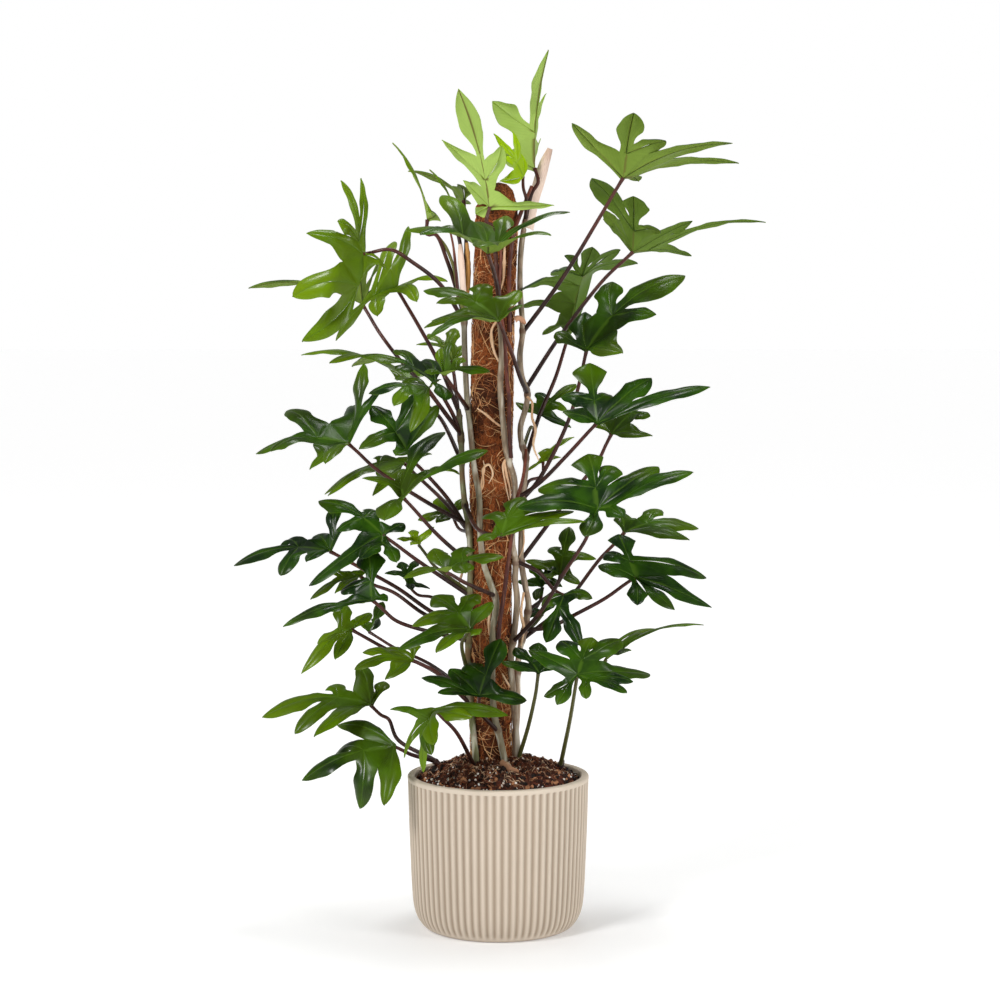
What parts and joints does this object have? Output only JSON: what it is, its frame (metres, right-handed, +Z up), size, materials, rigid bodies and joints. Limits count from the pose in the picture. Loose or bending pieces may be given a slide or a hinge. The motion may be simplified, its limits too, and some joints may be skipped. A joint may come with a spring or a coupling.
{
  "type": "potted climbing philodendron",
  "caption": "Tall climbing house plant with deeply lobed leaves on a coir pole, rooted in a round ribbed pot.",
  "frame": {"origin": "middle of the flat underside of the pot", "axes": "+Z up along the pole, +X to the right and -Y towards the viewer of the picture"},
  "size_m": [0.7919, 0.5001, 1.2976],
  "materials": {
    "pot": "matte",
    "soil": "matte",
    "coir": "matte",
    "stem": "satin",
    "sheath": "matte",
    "leaf": "satin",
    "young_leaf": "satin"
  },
  "bodies": {
    "root": {"pot": "pot", "soil": "soil", "pole": "coir", "stem_left": "stem", "stem_front": "stem", "stem_right": "stem", "stem_back": "stem", "stem_low_left": "stem", "stem_low_right": "stem", "sheath_top": "sheath", "sheath_side": "sheath", "leaf_a1": "leaf", "leaf_a2": "leaf", "leaf_a3": "leaf", "leaf_a4": "leaf", "leaf_a5": "leaf", "leaf_a6": "leaf", "leaf_e4": "leaf", "leaf_n1": "young_leaf", "leaf_n2": "young_leaf", "leaf_n3": "young_leaf", "leaf_f1": "leaf", "leaf_b4": "leaf", "leaf_b2": "leaf", "leaf_b6": "leaf", "leaf_b3": "leaf", "leaf_b1": "leaf", "leaf_b5": "leaf", "leaf_b7": "leaf", "leaf_c7": "leaf", "leaf_c2b": "leaf", "leaf_c10": "leaf", "leaf_c1": "leaf", "leaf_c2": "leaf", "leaf_c3": "leaf", "leaf_c4": "leaf", "leaf_c5": "leaf", "leaf_c9": "leaf", "leaf_m1": "leaf", "leaf_m2": "leaf", "leaf_m3": "leaf", "leaf_d4": "leaf", "leaf_d3": "leaf", "leaf_d1": "leaf", "leaf_d2": "leaf", "leaf_g1": "leaf", "leaf_g2": "leaf", "leaf_h1": "leaf", "leaf_h2": "leaf", "leaf_h3": "leaf", "leaf_h4": "leaf", "leaf_i1": "leaf", "leaf_i2": "leaf", "leaf_j1": "leaf", "leaf_k1": "leaf", "leaf_k2": "leaf", "leaf_l0": "leaf", "leaf_l1": "leaf", "leaf_l2": "leaf", "leaf_r1": "leaf"}
  },
  "joints": []
}
